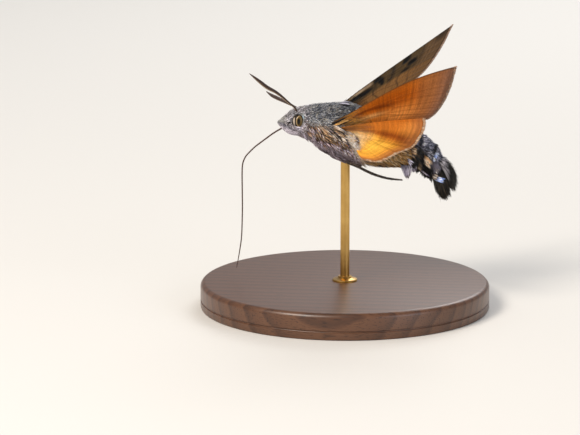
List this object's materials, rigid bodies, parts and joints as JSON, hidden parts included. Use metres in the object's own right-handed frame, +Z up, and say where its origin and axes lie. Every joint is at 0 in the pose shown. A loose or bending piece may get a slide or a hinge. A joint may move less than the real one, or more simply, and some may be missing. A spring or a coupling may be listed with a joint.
{
  "type": "hummingbird hawk moth",
  "caption": "Life-size hummingbird hawk moth hovering with raised wings and its long tongue reaching down, held on a round display stand",
  "frame": {"origin": "centre of the stand's underside, on the surface that it rests on", "axes": "+Z up, the moth's head towards -X and its left side towards -Y"},
  "size_m": [0.044, 0.044, 0.0424],
  "materials": {
    "head_fur": "short grey hair-scales above, lilac white below",
    "palp_scales": "close lilac grey scales",
    "compound_eye": "smooth olive gold facets with a dark spot",
    "antenna_scales": "dark brown, paler along the lower edge",
    "proboscis_cuticle": "smooth dark brown",
    "thorax_fur": "blue grey hair-scales on the back, golden brown sides, lilac grey belly",
    "abdomen_fur": "blue grey scales with black and cream side tufts",
    "tail_scales": "long black hair-scales with a white patch",
    "forewing_scales": "fine overlapping scales, rust orange below, grey brown with black lines above",
    "hindwing_scales": "fine overlapping scales, orange yellow with a darker edge",
    "leg_scales": "dark brown scales",
    "walnut": "oiled, fine grain",
    "brass_rod": "polished"
  },
  "bodies": {
    "root": {"head": "head_fur", "palp_left": "palp_scales", "palp_right": "palp_scales", "eye_left": "compound_eye", "eye_right": "compound_eye", "antenna_left": "antenna_scales", "antenna_right": "antenna_scales", "proboscis_upper": "proboscis_cuticle", "proboscis_knee": "proboscis_cuticle", "proboscis_lower": "proboscis_cuticle", "thorax": "thorax_fur", "abdomen_front": "abdomen_fur", "abdomen_middle": "abdomen_fur", "abdomen_rear": "abdomen_fur", "tail_fan": "tail_scales", "forewing_left": "forewing_scales", "forewing_right": "forewing_scales", "hindwing_left": "hindwing_scales", "hindwing_right": "hindwing_scales", "leg_fore_left": "leg_scales", "leg_fore_right": "leg_scales", "leg_mid_left": "leg_scales", "leg_mid_right": "leg_scales", "leg_hind_left": "leg_scales", "leg_hind_right": "leg_scales", "stand_base": "walnut", "stand_rod": "brass_rod"}
  },
  "joints": []
}
